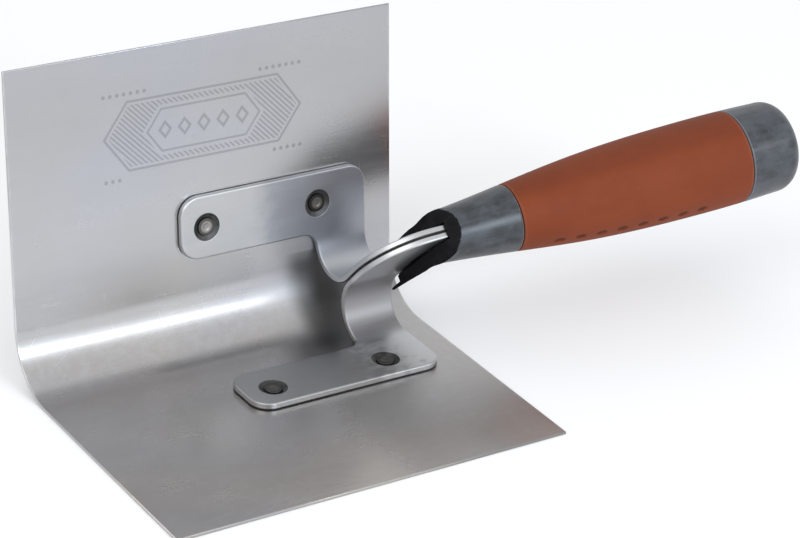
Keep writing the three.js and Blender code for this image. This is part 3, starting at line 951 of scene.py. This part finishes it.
def ahead_of_face(s, y, w):
    """How far in front of the nose's face a point is; the face swells a little round the tangs."""
    boss = TANG_BOSS * np.exp(-((w / 4.5) ** 2) - ((y - 1) / 7) ** 2)
    face = np.interp(y, FACE_LINE[:, 1], FACE_LINE[:, 0]) - boss
    return face - s, np.interp(y, FACE_LINE[:, 1], FACE_SLOPE)


def slot_field(s, y, w):
    """Signed distance to the room for the tangs and, below it, for the necks."""
    x = HANDLE_X + s * math.cos(RISE) - y * math.sin(RISE)
    d = HANDLE_D + s * math.sin(RISE) + y * math.cos(RISE)
    edge = TANG_HALF + SLOT_GAP
    room = np.maximum(y - edge, np.minimum(x - SLOT_REAR, -edge - y))
    slot = smooth_max(np.abs(w) - SEAT_GAP - PLATE - SLOT_GAP, room, 0.4)
    mouth = np.maximum(np.abs(w) - MOUTH_HALF, smooth_max(x - SLOT_REAR, d - MOUTH_TOP, 1.6))
    return smooth_min(slot, mouth, 0.6)


def core_field(p):
    """Signed distance, in millimetres, to the front of the handle's core."""
    s, y, w = p.T
    body = np.hypot(y, w) - body_radius(np.clip(s, -18, 20))
    ahead, slope = ahead_of_face(s, y, w)
    width = np.interp(y, (NOSE_LOW, NOSE_SHOULDER), NOSE_WIDTHS)
    side = np.hypot(w, NOSE_RIDGE) - width - ahead * math.tan(NOSE_TAPER)
    nose = smooth_max(side * math.cos(NOSE_TAPER), NOSE_LOW - y, 2.0)
    nose = np.maximum(nose, y - 4)
    solid = smooth_min(body, nose, 1.5)
    solid = smooth_max(solid, ahead / np.hypot(1, slope), 0.5)
    solid = smooth_max(solid, s - (SLEEVE[0] - 0.03), 0.6)
    return smooth_max(solid, -slot_field(s, y, w), 0.5)


def surface_net(field, low, high, cell):
    """Quads round the zero level of a field, each vertex drawn onto it."""
    axes = [np.arange(a, b + cell, cell) for a, b in zip(low, high)]
    shape = tuple(len(a) for a in axes)
    grid = np.stack(np.meshgrid(*axes, indexing="ij"), -1).reshape(-1, 3)
    value = field(grid).reshape(shape)
    inside = value < 0
    total = np.zeros([n - 1 for n in shape] + [3])
    count = np.zeros([n - 1 for n in shape])
    corners = [(i, j, k) for i in (0, 1) for j in (0, 1) for k in (0, 1)]

    def corner(array, c):
        return array[tuple(slice(o, n - 1 + o) for o, n in zip(c, shape))]

    for a in corners:
        for axis in range(3):
            if a[axis]:
                continue
            b = tuple(1 if i == axis else o for i, o in enumerate(a))
            va, vb = corner(value, a), corner(value, b)
            crosses = (va < 0) != (vb < 0)
            share = np.where(crosses, va / np.where(crosses, va - vb, 1), 0)
            for i in range(3):
                total[..., i] += crosses * (a[i] + (share if i == axis else 0))
            count += crosses
    used = count > 0
    index = np.full(used.shape, -1)
    index[used] = np.arange(used.sum())
    base = np.stack(np.meshgrid(*[np.arange(n - 1) for n in shape], indexing="ij"), -1)
    points = (base[used] + total[used] / count[used][:, None]) * cell + np.array(low)
    step = 0.02
    for _ in range(6):
        here = field(points)
        slope = np.stack(
            [field(points + step * e) - field(points - step * e) for e in np.eye(3)], 1
        ) / (2 * step)
        size = np.maximum((slope**2).sum(1), 0.2)
        points -= np.clip(here / size, -0.3 * cell, 0.3 * cell)[:, None] * slope
    faces = []
    for axis in range(3):
        b, c = (axis + 1) % 3, (axis + 2) % 3
        here = inside[tuple(slice(0, -1) if i == axis else slice(1, -1) for i in range(3))]
        there = inside[tuple(slice(1, None) if i == axis else slice(1, -1) for i in range(3))]
        for enters, flip in ((here & ~there, False), (~here & there, True)):
            cells = np.argwhere(enters)
            cells[:, b] += 1
            cells[:, c] += 1
            quad = []
            for db, dc in ((0, 0), (-1, 0), (-1, -1), (0, -1)):
                at = cells.copy()
                at[:, b] += db
                at[:, c] += dc
                quad.append(index[tuple(at.T)])
            quad = np.stack(quad, 1)
            faces.append(quad[:, ::-1] if flip else quad)
    return points, np.vstack(faces)


def nose():
    """The front of the core, and which of its faces are painted near-black as shade: the front face and
    the slot.
    """
    cell = 0.32
    points, faces = surface_net(core_field, *NOSE_BOX, cell)
    middles = points[faces].mean(1).T
    ahead, slope = ahead_of_face(*middles)
    dark = (ahead / np.hypot(1, slope) > -0.3) | (slot_field(*middles) < 0.3)
    return points, faces, dark


# ---- Handle core and pin ----

points, faces, dark = nose()
# The front face and the slot get the near-black plastic: painted shade.
finish = [BODY_PLASTIC, SHADED_FACE_PLASTIC]
piece("core_nose", points, faces, HANDLE_FRAME, "handle_core", "core", finish, which=dark)
piece("core_rod", *rod(), HANDLE_FRAME, "handle_core", "core", [BODY_PLASTIC])

pin_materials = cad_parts["tang_pin"].data.materials
pin_materials.clear()
pin_materials.append(SINK_STEEL)


# ---- Floor, light and camera ----

FLOOR_HALF = 3
CAMERA_PLACE = (-0.4505, -0.6133, 0.4147)
CAMERA_TURN = (63.008, -3.979, -33.081)

floor_mesh = bpy.data.meshes.new("floor")
quarters = ((-1, -1), (1, -1), (1, 1), (-1, 1))
floor_corners = [(x * FLOOR_HALF, y * FLOOR_HALF, 0) for x, y in quarters]
floor_mesh.from_pydata(floor_corners, [], [(0, 1, 2, 3)])
floor_mesh.materials.append(Look("floor_white", (0.88, 0.88, 0.88), 0, 0.9, 0.2).material)
floor = bpy.data.objects.new("floor", floor_mesh)
bpy.context.scene.collection.objects.link(floor)

world = bpy.data.worlds.new("studio")
bpy.context.scene.world = world
world.use_nodes = True
background = world.node_tree.nodes["Background"]
background.inputs["Color"].default_value = (0.92, 0.93, 0.945, 1)
background.inputs["Strength"].default_value = 1.0


def softbox(name, direction, distance, size, radiance, color=(1, 1, 1)):
    light = bpy.data.lights.new(name, "AREA")
    light.shape = "RECTANGLE"
    light.size, light.size_y = size
    light.energy = radiance * math.pi * size[0] * size[1]
    light.color = color
    lamp = bpy.data.objects.new(name, light)
    where = Vector(direction).normalized()
    lamp.location = where * distance
    lamp.rotation_euler = where.to_track_quat("Z", "Y").to_euler()
    bpy.context.scene.collection.objects.link(lamp)


softbox("strip_front", (0.448, -0.746, 0.492), 1.3, (0.74, 0.125), 4.0, (0.93, 0.97, 1))
softbox("key_left", (-0.75, -0.35, 0.75), 1.6, (1.2, 1.0), 1.8)
softbox("strip_side", (0.1, -0.9, 0.46), 1.3, (0.34, 0.3), 13.0, (0.76, 0.87, 1))

camera = bpy.data.cameras.new("camera")
camera.lens = 130.8
camera.sensor_width = 36
camera.clip_start = 0.01
view = bpy.data.objects.new("camera", camera)
view.location = CAMERA_PLACE
view.rotation_euler = Euler([math.radians(angle) for angle in CAMERA_TURN])
bpy.context.scene.collection.objects.link(view)
bpy.context.scene.camera = view
bpy.context.scene.view_settings.view_transform = "Standard"
